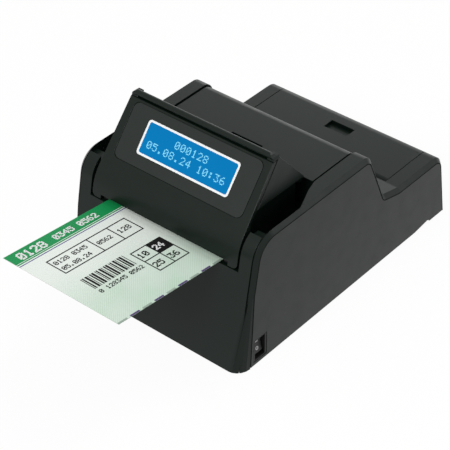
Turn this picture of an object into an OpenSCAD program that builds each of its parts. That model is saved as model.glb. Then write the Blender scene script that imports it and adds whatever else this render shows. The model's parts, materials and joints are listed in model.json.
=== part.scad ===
// Counter ticket printer with a display head, drawn as the separate pieces it is assembled from.
// X runs across, the front faces -Y and Z is up. The origin is the centre of the footprint, on the table.
// Lengths along Y in this file count from the front bottom edge, and place() moves them to the origin.

/* [Body] */
// Width across the two side panels
body_w = 129; // [127:1:140]
// Length of the footprint
body_l = 198; // [194:1:212]
// Height of the top deck above the table
deck_h = 84.5; // [83:0.5:90]
// Height of the rear tray above the table
tray_h = 44.5; // [43:0.5:47]
// Distance from the front edge to the corner between deck and back wall
ridge_y = 115; // [112:1:118]
// Distance from the front edge to the front of the rear lid
tray_y = 147; // [144:1:150]
// Height of the trough between back wall and rear tray
trough_h = 48; // [46.5:0.5:50]
// Backward lean of the front face, in degrees
front_lean = 10.5; // [9:0.5:12]
// Forward lean of the rear face, in degrees
rear_lean = 10; // [8:0.5:12]
// Slope of the back wall, in degrees
back_slope = 66; // [62:1:70]
// Radius between front face and deck
front_r = 16; // [12:0.5:18]
// Radius of the ridge, which is also the cover's hinge barrel
ridge_r = 8; // [7.5:0.25:9]
// Radius between rear tray and rear face
rear_r = 9; // [7:0.5:12]
// Width of the chamfer around each side
rim_r = 2.5; // [2:0.25:3.5]
// Radius of the front corners where they meet the table
corner_r = 8; // [5:0.5:9]
// Height at which the front corners have narrowed to the chamfer
corner_fade = 50; // [40:1:60]
// Wall thickness of the moulded shells
wall = 2.5; // [2:0.1:2.8]

/* [Side panels] */
// Thickness of a side panel
panel_t = 1.2; // [1:0.1:1.5]
// Gap around a side panel
panel_gap = 0.5; // [0.2:0.05:0.6]
// Wall behind a side panel
side_wall = 1.4; // [1.2:0.1:1.8]

/* [Cover and display head] */
// Width of the top cover
cover_w = 104.6; // [103:0.2:106]
// Gap between cover and cheeks
cover_gap = 1.3; // [1:0.05:1.6]
// Gap around the rear lid
lid_gap = 0.4; // [0.3:0.05:0.6]
// Depth of the cover below the cheeks
cover_drop = 0.4; // [0:0.1:0.8]
// Distance of the cover's ridge in front of the cheeks' ridge
ridge_back = 1.4; // [0.8:0.1:1.8]
// Rise of the display head above the deck
head_rise = 32.7; // [31:0.1:34]
// Slope of the display face, in degrees
face_slope = 51.5; // [50:0.5:54]
// Distance from the front edge to the foot of the head's rear side
head_foot_y = 75.6; // [74:0.2:78]
// Width of the head at its lower edge
head_low_w = 105; // [103:0.5:105.4]
// Inward draft of the head's sides, in degrees
head_draft = 2.4; // [1.5:0.1:4]
// Radius of the head's upper corners
head_corner_r = 4.5; // [3:0.25:6]
// Radius of the lip above the display
lip_r = 1.8; // [1.5:0.1:2.2]
// Thickness of the display fascia
fascia_t = 2.4; // [2:0.1:2.8]
// Radius of the chin below the display
chin_r = 25; // [15:1:30]
// Height of the head's open sides above the deck
undercut_h = 6; // [4:0.5:7]

/* [Display] */
// Width of the display's white frame
lcd_w = 65; // [58:0.5:68]
// Height of the display's white frame
lcd_h = 20.4; // [17:0.2:21]
// Width of the border of the white frame
lcd_border = 1.3; // [0.8:0.1:1.8]
// Width of the overlay sheet around the display
overlay_w = 91; // [84:0.5:93]
// Height of the overlay sheet
overlay_h = 33; // [30:0.2:34]
// Height of the display's centre above the overlay's centre
lcd_lift = 0.6; // [0:0.1:1.5]

/* [Paper path] */
// Width of the ticket
paper_w = 82.5; // [78:0.5:84]
// Length of the ticket
ticket_l = 104; // [95:1:115]
// Length of ticket that stands out of the slot
ticket_out = 80; // [74:1:84]
// Thickness of the ticket
ticket_t = 0.25; // [0.15:0.05:0.3]
// Height of the paper where it leaves the front
exit_h = 63; // [62:0.25:64]
// Rise of the paper towards the front, in degrees
exit_tilt = 6; // [5:0.25:7]
// Height of the exit slot
slot_h = 3.2; // [2.8:0.1:3.8]
// Width of the exit slot and of the paper entry
slot_w = 92; // [90:0.5:93]
// Distance from the front edge to the platen
platen_y = 60; // [58:0.5:61]
// Radius of the platen
platen_r = 8; // [7:0.25:8.5]

/* [Drive] */
// Gear module
gear_m = 0.8; // [0.75:0.05:0.85]
// Teeth of the platen gear
platen_teeth = 24; // [22:1:25]
// Teeth of the idler gear
idler_teeth = 36; // [32:1:38]
// Teeth of the motor pinion
pinion_teeth = 14; // [13:1:15]
// Travel of the cutter blade
cut_travel = 4.5; // [4:0.25:5]
// Side of the square feed motor
motor_s = 28.2; // [26:0.2:29]

/* [Fasteners and hinges] */
// Radius of the cover's hinge pins
cover_pin_r = 2.5; // [2:0.1:3]
// Radius of the rear lid's hinge pins
lid_pin_r = 1.5; // [1.2:0.1:1.8]
// Radius of the rear lid's hinge barrel
lid_barrel_r = 3.4; // [3.2:0.1:3.6]
// Radius of the screws
screw_r = 1.5; // [1.25:0.05:1.75]
// Radius of the rubber feet
foot_r = 7; // [5:0.5:8]
// Depth of the rubber feet
foot_t = 1.5; // [1:0.1:1.8]

/* [Power switch] */
// Length of the switch along the body
switch_l = 10.9; // [10:0.1:12]
// Height of the switch
switch_h = 15.2; // [14:0.1:16]
// Distance from the front edge to the switch
switch_y = 12.2; // [12:0.1:14]
// Height of the switch above the table
switch_z = 2.8; // [2.7:0.1:4]
// Swing of the rocker, in degrees
rocker_swing = 14; // [10:1:16]

/* [Hidden] */
$fn = 48;
big = 400;
arc_step = 9;
rim_steps = 5;
run_gap = 0.05;
seat_gap = 0.02;
slide_gap = 0.4;
backlash = 0.16;
pressure = 20;

black = "#26292a";
dark = "#1b1d1e";
steel = "#b9bcbd";
brass = "#c2a14e";

side_x = body_w / 2;
cav_x = side_x - panel_t - side_wall;
cover_x = cover_w / 2;
cheek_x = cover_x + cover_gap;
lid_x = cheek_x - lid_gap;
cheek_t = 2;
below = 25;

// Face and wall lines of the body in the side view
function front_y(z) = z * tan(front_lean);
function rear_y(z) = body_l - z * tan(rear_lean);
function back_y(z) = ridge_y + (deck_h - z) / tan(back_slope);

function unit(v) = v / norm(v);
function spin(p, a) = [p.x * cos(a) - p.y * sin(a), p.x * sin(a) + p.y * cos(a)];
function polar(r, a) = r * [cos(a), sin(a)];
function flat(p) = [p.x, p.y];
function around(c, ends) = [c + ends[0], c + ends[1]];

// Arc of radius r in the corner b between a and c
function bend(a, b, c, r) = r == 0 ? [b] :
  let (
    u = unit(a - b),
    v = unit(c - b),
    half = acos(u * v) / 2,
    centre = b + unit(u + v) * r / sin(half),
    first = b + u * r / tan(half) - centre,
    last = b + v * r / tan(half) - centre,
    sweep = atan2(first.x * last.y - first.y * last.x, first * last),
    n = max(2, ceil(abs(sweep) / arc_step))
  )
  [for (i = [0:n]) centre + spin(first, sweep * i / n)];

// Outline through corners [y, z, radius]
function rounded(c) = let (n = len(c))
  [for (i = [0:n - 1]) each bend(flat(c[(i + n - 1) % n]), flat(c[i]), flat(c[(i + 1) % n]), c[i].z)];

function left_of(a, b) = let (d = unit(b - a)) [-d.y, d.x];

// Outline moved inwards by depth[i] at each of its points
function inset(pts, depth) = let (n = len(pts))
  [for (i = [0:n - 1])
    let (m = left_of(pts[(i + n - 1) % n], pts[i]), k = left_of(pts[i], pts[(i + 1) % n]))
    pts[i] - (m + k) / (1 + m * k) * depth[i]];
function even(pts, d) = inset(pts, [for (p = pts) d]);

// Side view of the body, from below the table up the front and over to the rear
outline = rounded([
  [front_y(-below), -below, 0],
  [front_y(corner_fade), corner_fade, 0],
  [front_y(deck_h), deck_h, front_r],
  [ridge_y, deck_h, ridge_r],
  [back_y(trough_h), trough_h, 3],
  [tray_y - 1, tray_h, 6],
  [rear_y(tray_h), tray_h, rear_r],
  [rear_y(-below), -below, 0],
]);

// Rim width at a point of the outline, larger at the foot of the front face
function rim_at(p) = rim_r
  + (abs(p.x - front_y(p.y)) < 0.01 ? (corner_r - rim_r) * max(0, 1 - p.y / corner_fade) : 0);
rims = [for (p = outline) rim_at(p)];

// Step k across a rim of width r, as depth and distance from the side: a flat chamfer at the least width,
// which turns into a quarter circle at the foot of the front face
function rim_step(r, k) = let (
    turn = 90 * k / rim_steps,
    part = k / rim_steps,
    roll = min(1, (r - rim_r) / (corner_r - rim_r))
  )
  r * (roll * [1 - cos(turn), 1 - sin(turn)] + (1 - roll) * [part, 1 - part]);

// Cover hinge at the centre of the ridge, rear lid hinge behind the trough
hinge = [ridge_y - ridge_r * tan(back_slope / 2), deck_h - ridge_r];
cover_ridge = hinge - [ridge_back, cover_drop];
cover_top = deck_h - cover_drop;
lid_hinge = [tray_y + lid_barrel_r, tray_h - lid_barrel_r];
nose_gap = 0.35;
lid_low = tray_h - 13.5;

// Paper path through the front, in degrees and millimetres
exit_y = front_y(exit_h);
function path_z(y) = exit_h - (y - exit_y) * tan(exit_tilt);
part_z = exit_h - slot_h / 2;
slot_top = part_z + slot_h;

// Display face
head_top = deck_h + head_rise;
face_z = deck_h + 14.5;
face_y0 = 33;
function face_y(z) = face_y0 + (z - face_z) / tan(face_slope);
function head_back_y(z) = head_foot_y + (deck_h - z) / tan(head_back_slope);
function head_back_z(y) = deck_h + (head_foot_y - y) * tan(head_back_slope);
function head_x(z) = head_low_w / 2 - (z - part_z) * tan(head_draft);
lip_z = head_top - lip_r;
lip = [face_y(lip_z), lip_z];
fascia_top = lip_z - lip_r - 0.6;
wing_z = deck_h + undercut_h;
head_clear = 1.1;
head_room = max(cheek_x, head_low_w / 2 + head_clear);
deck_front = head_foot_y + 0.8;
seam = 0.7;

// Rear side of the head, from its foot on the deck to the back of the lip
lip_way = [head_foot_y - lip.x, lip.y - deck_h];
head_back_slope = atan2(lip_way.y, lip_way.x) + asin(lip_r / norm(lip_way));

// Corner between front face and display face, moved inwards by t
function chin(t) = let (
    z = (face_y0 - face_z / tan(face_slope) + t / sin(face_slope) - t / cos(front_lean))
      / (tan(front_lean) - 1 / tan(face_slope))
  )
  [front_y(z) + t / cos(front_lean), z];

// Fillet of the chin at depth t, at most what the front wall above the parting line can hold
function chin_fillet(t) =
  min(chin_r - t, 0.9 * (chin(t).y - part_z) / cos(front_lean) / tan((90 - face_slope - front_lean) / 2));

// Mechanism places
roller_x = paper_w / 2 + 1.75;
plate_t = 1.5;
plate_x = roller_x + 3;
plate_y0 = 46;
plate_y1 = 110;
plate_z = 6;
platen = [platen_y, path_z(platen_y) - platen_r - ticket_t];
shaft_r = 3;
bush_r = 5;
stud_r = 2.5;
gear_t = 4;
gear_x = plate_x + plate_t + 1.5;
idler_dir = -50;
motor_l = 30;
motor_clear = 1.2;
motor_z = plate_z + plate_t + motor_clear + motor_s / 2;
function pitch_r(teeth) = gear_m * teeth / 2;
idler = platen + polar(pitch_r(platen_teeth) + pitch_r(idler_teeth) + run_gap, idler_dir);
pinion_off = pitch_r(idler_teeth) + pitch_r(pinion_teeth) + run_gap;
pinion_dir = asin((motor_z - idler.y) / pinion_off);
pinion = idler + polar(pinion_off, pinion_dir);
blade_y = 43.6;
blade_t = 1;
cut_rise = 3.1;
blade_top = path_z(blade_y) + cut_rise - cut_travel;
cut_teeth = 12;
cut_gear_t = 1.4;
blade_h = 16;
tongue_h = 8.5;
tongue_w = 8;
cut_gear = [roller_x - 10, blade_top - blade_h - tongue_h];
blade_low = cut_gear.y - tongue_h;
blade_slot = 1;
cut_shaft_r = 1;
cut_motor_r = 6;
cut_motor_l = 20;
bracket_y = blade_y - 2.2;
upper_y = blade_y - blade_t / 2 - 0.4 - blade_t;
neck_x = plate_x;
neck_y0 = 28;
neck_y1 = max(69.5, platen_y + 9.5);
neck_t = 2;
spring_z = deck_h - 4.5;
bar_t = 2;

// Paper bay
bay_z = 26;
bay_t = 1.5;
tray_y0 = tray_y + 2;
tray_y1 = rear_y(bay_z) - wall - 1;
fence_x = paper_w / 2 + slide_gap;
fence_t = 2;
guide_y = (tray_y0 + tray_y1) / 2;
guide_teeth = 12;
rack_t = 2;
rack_z = bay_z - bay_t - slide_gap - rack_t;
leg_x = cheek_x - 5.1;
leg_r = 3;
board_z = 7.5;
board_t = 1.6;
board_y0 = plate_y1 + 6;
board_y1 = rear_y(board_z) - wall - 1.5;
board_x = leg_x - leg_r - 1.5;

post_xy = [[cav_x - 3.6, 32], [cav_x - 3.6, body_l - 20]];
foot_xy = [[cav_x - 11.9, 24], [cav_x - 11.9, body_l - 28]];
frame_xy = [[plate_x - 6, plate_y0 + 6], [plate_x - 6, plate_y0 + 26]];
board_xy = [[board_x - 4, board_y0 + 4], [board_x - 4, board_y1 - 14]];
leg_xy = [[leg_x, tray_y0 + leg_r], [leg_x, tray_y1 - leg_r]];
post_r = 4;
boss_r = 4;
head_r = 2.8;
head_t = 1.6;
switch_mid = [switch_y + switch_l / 2, switch_z + switch_h / 2];
rocker_pivot_x = side_x - 8;

module place() translate([0, -body_l / 2, 0]) children();
module both() for (s = [0, 1]) mirror([s, 0, 0]) children();
module at_each(list) both() for (p = list) translate([p.x, p.y, 0]) children();
module box(x, y, z) translate([x[0], y[0], z[0]]) cube([x[1] - x[0], y[1] - y[0], z[1] - z[0]]);
// Drawing in the side view, extruded across the body
module across(x0, x1) translate([x0, 0, 0]) rotate([90, 0, 90]) linear_extrude(x1 - x0) children();
// Drawing in the front view, extruded along the body
module along(y0, y1) translate([0, y1, 0]) rotate([90, 0, 0]) linear_extrude(y1 - y0) children();
module rod_x(x0, x1, at, r) translate([x0, at.x, at.y]) rotate([0, 90, 0]) cylinder(h = x1 - x0, r = r);
module rod_y(y0, y1, at, r) translate([at.x, y1, at.y]) rotate([90, 0, 0]) cylinder(h = y1 - y0, r = r);
module rod_z(z0, z1, r) translate([0, 0, z0]) cylinder(h = z1 - z0, r = r);
// Rectangle w by h about the origin with corners of radius r
module plaque(w, h, r) polygon(rounded([
  for (c = [[-w, -h], [-w, h], [w, h], [w, -h]] / 2) [c.x, c.y, r],
]));
module under_table() box([-big, big], [-big, big], [-big, 0]);

// Closed body lofted across the outline, with a rim around each side
module lofted() {
  n = len(outline);
  function ring(s, k) = let (
      steps = [for (r = rims) rim_step(r, k)],
      pts = inset(outline, [for (p = steps) p.x])
    )
    [for (i = [0:n - 1]) [s * (side_x - steps[i].y), pts[i].x, pts[i].y]];
  points = [
    for (k = [rim_steps:-1:0]) each ring(-1, k),
    for (k = [0:rim_steps]) each ring(1, k),
  ];
  last = 2 * rim_steps + 1;
  faces = [
    [for (i = [n - 1:-1:0]) i],
    for (j = [0:last - 1], i = [0:n - 1])
      let (a = j * n + i, b = j * n + (i + 1) % n)
        each [[a, b, a + n], [b, b + n, a + n]],
    [for (i = [0:n - 1]) last * n + i],
  ];
  polyhedron(points, faces);
}

// Shallow arch in the lower edge of each side
module edge_notch() both() across(cav_x - 6, side_x + 1)
  polygon([[body_l - 35, -1], [body_l - 35, 0.2], [body_l - 18, 2.3], [body_l - 16, -1]]);

// Straight-sided stiffener that follows the body's side view inside the cheek
module cheek_web(y, z) intersection() {
  across(cheek_x, cheek_x + cheek_t) polygon(even(outline, wall / 2));
  box([0, side_x], y, z);
}

channel_y0 = 21.5;
channel_y1 = 28;
channel_outer = 53;
channel_x = max(cav_x, side_x - rim_r + 0.15);
channel_knee = [2.4, 68];
web_y = deck_front + 8;
ledge_z = deck_h - 4.5;
channel_floor = part_z + 2.6;

// Open channel between the display head and the cheek's outer wall
module channel(y0, z0) translate([0, 0, z0]) linear_extrude(big)
  polygon([
    [cheek_x - 1, y0], [channel_x, y0], [channel_x, channel_outer],
    [cheek_x + channel_knee.x, channel_knee.y], [cheek_x, deck_front], [cheek_x - 1, deck_front],
  ]);

// Groove on the front beside the rim band, as deep as groove_d above groove_z[1] and fading out below
groove_w = 0.7;
groove_d = 0.7;
groove_z = [14, 40];
module rim_groove() across(channel_x - groove_w, channel_x) intersection() {
  difference() {
    polygon(even(outline, -1));
    polygon(even(outline, groove_d));
  }
  polygon([
    [-1, groove_z[0]], [front_y(groove_z[0]), groove_z[0]], [front_y(groove_z[1]) + groove_d, groove_z[1]],
    [channel_y0 + 1, groove_z[1]], [channel_y0 + 1, deck_h + 1], [-1, deck_h + 1],
  ]);
}

module housing_body() {
  difference() {
    lofted();
    across(-cav_x, cav_x) polygon(even(outline, wall));
  }
  both() {
    intersection() {
      across(cheek_x, cav_x + side_wall / 2) polygon(even(outline, wall / 2));
      box([0, side_x], [-big, channel_y1], [part_z - 3, ledge_z]);
    }
    box([cheek_x, cav_x + side_wall / 2], [channel_y1 - 1, web_y + 1],
      [channel_floor - 2, channel_floor]);
    cheek_web([web_y, back_y(trough_h) + 4], [channel_floor - 2, big]);
    cheek_web([back_y(trough_h) - 3, big], [bay_z - 4, big]);
    rod_x(cheek_x, cav_x + side_wall / 2, hinge, cover_pin_r + 2.5);
    rod_x(cheek_x, cav_x + side_wall / 2, lid_hinge, lid_pin_r + 1.8);
    for (p = post_xy) translate([p.x, p.y, 0]) rod_z(wall + 0.4, 24, post_r);
  }
}

module housing() color(black) place() difference() {
  housing_body();
  under_table();
  both() {
    across(side_x - panel_t, big) polygon(inset(outline, rims));
    channel(channel_y0, ledge_z);
    channel(channel_y1, channel_floor);
    rim_groove();
    rod_x(cheek_x - 1, cav_x, hinge, cover_pin_r + seat_gap);
    rod_x(cheek_x - 1, cav_x, lid_hinge, lid_pin_r + seat_gap);
    for (p = post_xy) translate([p.x, p.y, 0]) rod_z(0, 16, screw_r + run_gap);
  }
  edge_notch();
  box([-cheek_x, cheek_x], [-big, hinge.x], [part_z, big]);
  box([-head_room, head_room], [-big, head_foot_y + 1], [part_z, big]);
  box([-cheek_x, cheek_x], [hinge.x - 1, hinge.x + 2 * ridge_r], [hinge.y - 1, big]);
  rod_x(-cheek_x, cheek_x, hinge, ridge_r + nose_gap);
  box([-cheek_x, cheek_x], [tray_y - lid_gap, big], [lid_low - lid_gap, big]);
  box([-slot_w, slot_w] / 2, [tray_y, big], [bay_z, lid_low]);
  switch_hole();
  socket_holes();
}

// Opening for the switch in the right side
switch_fit = 0.2;
switch_well = 10.5;
module switch_hole() box([cav_x - 2, big],
  around(switch_y, [-switch_fit, switch_l + switch_fit]),
  around(switch_z, [-switch_fit, switch_h + switch_fit]));

module base_pan() color(dark) place() difference() {
  edge = wall / cos(front_lean) + 0.3;
  union() {
    box([-cav_x + 0.3, cav_x - 0.3], [front_y(wall) + edge, rear_y(wall) - edge], [0, wall]);
    at_each(frame_xy) rod_z(0, plate_z, boss_r);
  }
  at_each(foot_xy) rod_z(-1, foot_t, foot_r + seat_gap);
  at_each(post_xy) {
    rod_z(-1, wall + 1, screw_r + run_gap);
    rod_z(-1, head_t, head_r + 0.2);
  }
  at_each(frame_xy) rod_z(wall, big, screw_r + run_gap);
}

// Panel that fills the flat of one side
module side_panel() difference() {
  across(side_x - panel_t, side_x) polygon(inset(outline, [for (r = rims) r + panel_gap]));
  translate([0, 0, panel_gap]) under_table();
  edge_notch();
}
module side_panel_left() color(black) place() mirror([1, 0, 0]) side_panel();
module side_panel_right() color(black) place() difference() {
  side_panel();
  switch_hole();
}

module tray_posts() color(dark) place() at_each(leg_xy) rod_z(wall, bay_z - bay_t, leg_r);
module board_standoffs() color(brass) place() at_each(board_xy) difference() {
  rod_z(wall, board_z, boss_r, $fn = 6);
  rod_z(0, board_z + 1, screw_r + run_gap);
}

module rubber_feet() color("#161616") place() at_each(foot_xy) rod_z(0, foot_t, foot_r);

// Pan head screw with a cross recess, its head below and its shank above the origin
module screw(l) difference() {
  union() {
    rod_z(-head_t, 0, head_r);
    rod_z(-0.5, l, screw_r);
  }
  for (a = [0, 90]) rotate(a) translate([0, 0, -head_t]) cube([3.2, 0.7, 1.4], center = true);
}
module base_screws() color(steel) place() at_each(post_xy) translate([0, 0, head_t]) screw(10);
module frame_screws() color(steel) place() at_each(frame_xy)
  translate([0, 0, plate_z + plate_t]) mirror([0, 0, 1]) screw(plate_t + 3);
module board_screws() color(steel) place() at_each(board_xy)
  translate([0, 0, board_z + board_t]) mirror([0, 0, 1]) screw(board_t + 4);

// Front view of the head above a height, drafted and rounded at the top, shrunk by d
module head_front(d, low = part_z - 1, low_r = 0) polygon(rounded([
  [-head_x(low) + d, low, low_r],
  [-head_x(head_top) + d, head_top - d, head_corner_r],
  [head_x(head_top) - d, head_top - d, head_corner_r],
  [head_x(low) - d, low, low_r],
]));

back_t = 2.2;
back_in = back_t / sin(head_back_slope);
fascia_back = (fascia_t + seam) / sin(face_slope);

// Lip with the rear side behind it, and the ends of the recess below the lip
recess_end = 4.6;
module head_wedge() intersection() {
  union() {
    across(-big, big) polygon([
      [face_y(wing_z) + fascia_back, wing_z],
      [face_y(lip_z - lip_r) + fascia_back, lip_z - lip_r],
      lip,
      lip + lip_r * [sin(head_back_slope), cos(head_back_slope)],
      [head_back_y(wing_z), wing_z],
    ]);
    rod_x(-head_x(lip_z), head_x(lip_z), lip, lip_r);
    both() across(head_x(lip_z) - recess_end, big) polygon([
      [face_y(fascia_top + seam / 2), fascia_top + seam / 2], lip, lip + [fascia_back, 0],
      [face_y(fascia_top + seam / 2) + fascia_back + 0.5, fascia_top + seam / 2],
    ]);
  }
  along(-big, big) head_front(0);
}

// Sloping wall that joins the head's rear side to the deck
module head_foot() across(-neck_x, neck_x) polygon([
  [neck_y1 - 1, wing_z - 3], [neck_y1 - 1, wing_z + 1], [head_back_y(wing_z + 1), wing_z + 1],
  [head_back_y(cover_top), cover_top], [deck_front + 2, cover_top], [deck_front + 2, cover_top - wall],
  [head_foot_y - 3, cover_top - wall],
]);

module head_hollow() intersection() {
  top = fascia_top;
  low = wing_z + back_t;
  across(-big, big) polygon([
    [face_y(low) - 6, low], [face_y(top) - 6, top],
    [head_back_y(top) - back_in, top], [head_back_y(low) - back_in, low],
  ]);
  along(-big, big) head_front(back_t);
}

// Square duct below the head, cut back behind the fascia
module neck() {
  top = wing_z + back_t;
  knee = face_z + (neck_y0 - fascia_back - face_y0) * tan(face_slope);
  across(-neck_x, neck_x) polygon([
    [neck_y0, part_z + 0.6], [neck_y0, knee], [face_y(top) + fascia_back, top],
    [head_back_y(top), top], [neck_y1, head_back_z(neck_y1)], [neck_y1, part_z + 0.6],
  ]);
}
module neck_hollow() {
  top = wing_z + back_t + 0.1;
  front = neck_y0 + neck_t;
  rear = neck_y1 - neck_t;
  across(neck_t - neck_x, neck_x - neck_t) polygon([
    [front, 0], [front, top], [head_back_y(top) - back_in, top],
    [rear, head_back_z(rear + back_in)], [rear, 0],
  ]);
}

// Room for the display's module and board behind the fascia
module display_well() on_face(lcd_up) translate([0, 0, glass_low - well_d])
  linear_extrude(well_d) plaque(lcd_w + 18, lcd_h + 5, 1);

pocket_w = 22;
pocket_y = [head_foot_y + 0.8, head_foot_y + 9.2];
pocket_d = 6;
pocket_t = 1.5;
skirt_t = 2;
skirt_z = part_z + 6;

module cover_shell() color(black) place() difference() {
  union() {
    difference() {
      union() {
        head_wedge();
        neck();
      }
      head_hollow();
      neck_hollow();
    }
    box([-neck_x, neck_x], [platen_y - 8, neck_y1], [spring_z, spring_z + bar_t]);
    box([-neck_x, neck_x], [blade_y - 5, upper_y], [part_z + 0.6, part_z + 9]);
    head_foot();
    box([-cover_x, cover_x], [deck_front, cover_ridge.x], [cover_top - wall, cover_top]);
    difference() {
      rod_x(-cover_x, cover_x, cover_ridge, ridge_r);
      rod_x(-cover_x + 8, cover_x - 8, cover_ridge, ridge_r - wall);
      across(-cover_x + 8, cover_x - 8) translate(cover_ridge) polygon([
        [0, 0], polar(3 * ridge_r, -25), polar(3 * ridge_r, -90), polar(3 * ridge_r, -180),
        [-3 * ridge_r, ridge_r - wall], [0, ridge_r - wall],
      ]);
    }
    box([-cover_x, cover_x], [deck_front, deck_front + skirt_t], [skirt_z, cover_top - 1]);
    both() box([neck_x - 9, neck_x], [neck_y1 - 1, neck_y1 + 9.5], [part_z - 1, part_z + 4]);
    box([-pocket_w / 2 - pocket_t, pocket_w / 2 + pocket_t], pocket_y + [-pocket_t, pocket_t],
      [deck_h - pocket_d - pocket_t, deck_h - 1]);
  }
  box([-pocket_w, pocket_w] / 2, pocket_y, [deck_h - pocket_d, big]);
  display_well();
  both() rod_x(cover_x - 8.5, big, hinge, cover_pin_r + run_gap);
  at_each([[neck_x - 4.5, neck_y1 + 5]]) rod_z(0, part_z + 1.5, magnet_r + seat_gap);
}

magnet_r = 3;
catch_z = part_z - 2.5;
module catch_magnets() color("#8f9294") place() at_each([[neck_x - 4.5, neck_y1 + 5]])
  rod_z(catch_z, part_z + 1.5, magnet_r);
module catch_plates() color(steel) place() at_each([[neck_x - 4.5, neck_y1 + 5]])
  rod_z(catch_z - slide_gap - 1, catch_z - slide_gap, magnet_r + 0.8);
module cover_hinge_pins() color(steel) place() both()
  rod_x(cover_x - 8, cav_x, hinge, cover_pin_r);

// Local frame on the display face: X across, Y up the face, Z out of it
module on_face(up) translate([0, face_y0, face_z]) rotate([face_slope, 0, 0])
  translate([0, up, 0]) children();
overlay_edge = 1.5;
overlay_up = (fascia_top - face_z) / sin(face_slope) - overlay_h / 2 - overlay_edge;
lcd_up = overlay_up + lcd_lift;
overlay_t = 0.7;
fit = 0.15;
overlay_fit = 0.3;
chin_gap = 0.8;
chin_corner_r = 3;
glass_low = -fascia_t;

module display_fascia() color(black) place() difference() {
  intersection() {
    union() {
      across(-big, big) polygon(rounded([
        [front_y(part_z), part_z, 0],
        [chin(0).x, chin(0).y, chin_fillet(0)],
        [face_y(fascia_top), fascia_top, 0],
        [face_y(fascia_top) + fascia_t / sin(face_slope), fascia_top, 0],
        [chin(fascia_t).x, chin(fascia_t).y, chin_fillet(fascia_t)],
        [front_y(part_z) + fascia_t / cos(front_lean), part_z, 0],
      ]));
      both() across(head_x(part_z) - 5, big) polygon([
        [front_y(part_z) + 1, part_z], chin(1), [face_y(deck_h) + 1, deck_h],
        [neck_y0 - 3.5, deck_h], [neck_y0 - 5, part_z],
      ]);
    }
    along(-big, big) head_front(0, part_z + chin_gap, chin_corner_r);
  }
  box([-slot_w, slot_w] / 2, [-big, big], [0, slot_top]);
  box([-head_x(deck_h) + 2.5, head_x(deck_h) - 2.5], [front_y(part_z) + fascia_t + 1.2, big],
    [0, chin(0).y]);
  on_face(overlay_up) translate([0, 0, -overlay_t - 0.1])
    linear_extrude(5) plaque(overlay_w + 2 * overlay_fit, overlay_h + 2 * overlay_fit, 4);
  on_face(lcd_up) translate([0, 0, -5]) linear_extrude(9) plaque(lcd_w + 2 * fit, lcd_h + 2 * fit, 2);
}

module display_overlay() color("#2c2f30") place() difference() {
  on_face(overlay_up) translate([0, 0, -overlay_t - 0.1])
    linear_extrude(overlay_t) plaque(overlay_w, overlay_h, 4);
  on_face(lcd_up) translate([0, 0, -5]) linear_extrude(9) plaque(lcd_w + 2 * fit, lcd_h + 2 * fit, 2);
}

module lcd_frame() color("white") place() on_face(lcd_up) translate([0, 0, glass_low]) difference() {
  linear_extrude(-glass_low - 0.05) plaque(lcd_w, lcd_h, 2);
  translate([0, 0, -1]) linear_extrude(9) plaque(lcd_w - 2 * lcd_border, lcd_h - 2 * lcd_border, 1.2);
}

module lcd_glass() color("#0a7dbe") place() on_face(lcd_up) translate([0, 0, glass_low])
  linear_extrude(-glass_low - 0.35)
    plaque(lcd_w - 2 * lcd_border - 0.1, lcd_h - 2 * lcd_border - 0.1, 1.15);

module_t = 5;
chip_t = 2.4;
chip_w = 40;
well_d = module_t + board_t + chip_t + 0.6;
module lcd_module() color("#9ea3a5") place() on_face(lcd_up) translate([0, 0, glass_low - module_t])
  linear_extrude(module_t) plaque(lcd_w + 6, lcd_h + 1, 1);

module display_board() color("#1f6b3a") place() on_face(lcd_up) {
  translate([0, 0, glass_low - module_t - board_t])
    linear_extrude(board_t) plaque(lcd_w + 16, lcd_h + 3, 1);
  translate([-chip_w / 2, -6, glass_low - module_t - board_t - chip_t]) cube([chip_w, 8, chip_t]);
  for (s = [-1, 1]) translate([s * (lcd_w / 2 + 5.5), 0, glass_low - module_t])
    cylinder(h = module_t, r = 2);
}

head_gap = 0.3;
print_low = platen.y + platen_r + head_gap;
sink_low = print_low + 2.2;
sink_top = sink_low + 8;
module print_head() color("#d9d4c4") place()
  box([-roller_x, roller_x], around(platen_y, [-6.5, 6.5]), [print_low, sink_low]);
module head_heatsink() color("#a4a8aa") place() {
  box([-roller_x, roller_x], around(platen_y, [-6.5, 6.5]), [sink_low, sink_low + 3]);
  for (i = [-2:2])
    box([-roller_x, roller_x], around(platen_y + i * 2.8, [-0.7, 0.7]), [sink_low, sink_top]);
}
module head_springs() color(steel) place()
  for (x = [-28, 0, 28]) translate([x, platen_y, 0]) difference() {
    rod_z(sink_top, spring_z, 3);
    rod_z(sink_low, spring_z + 1, 2.2);
  }
module upper_blade() color(steel) place()
  box([-roller_x, roller_x], [upper_y, upper_y + blade_t], [path_z(blade_y) + 1.3, part_z + 8]);

// Strip of the body's own skin between two heights, behind the front of the rear lid
module lid_skin() intersection() {
  across(-lid_x, lid_x) difference() {
    polygon(outline);
    polygon(even(outline, wall));
  }
  box([-lid_x, lid_x], [lid_hinge.x, big], [lid_low, big]);
}

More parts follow.
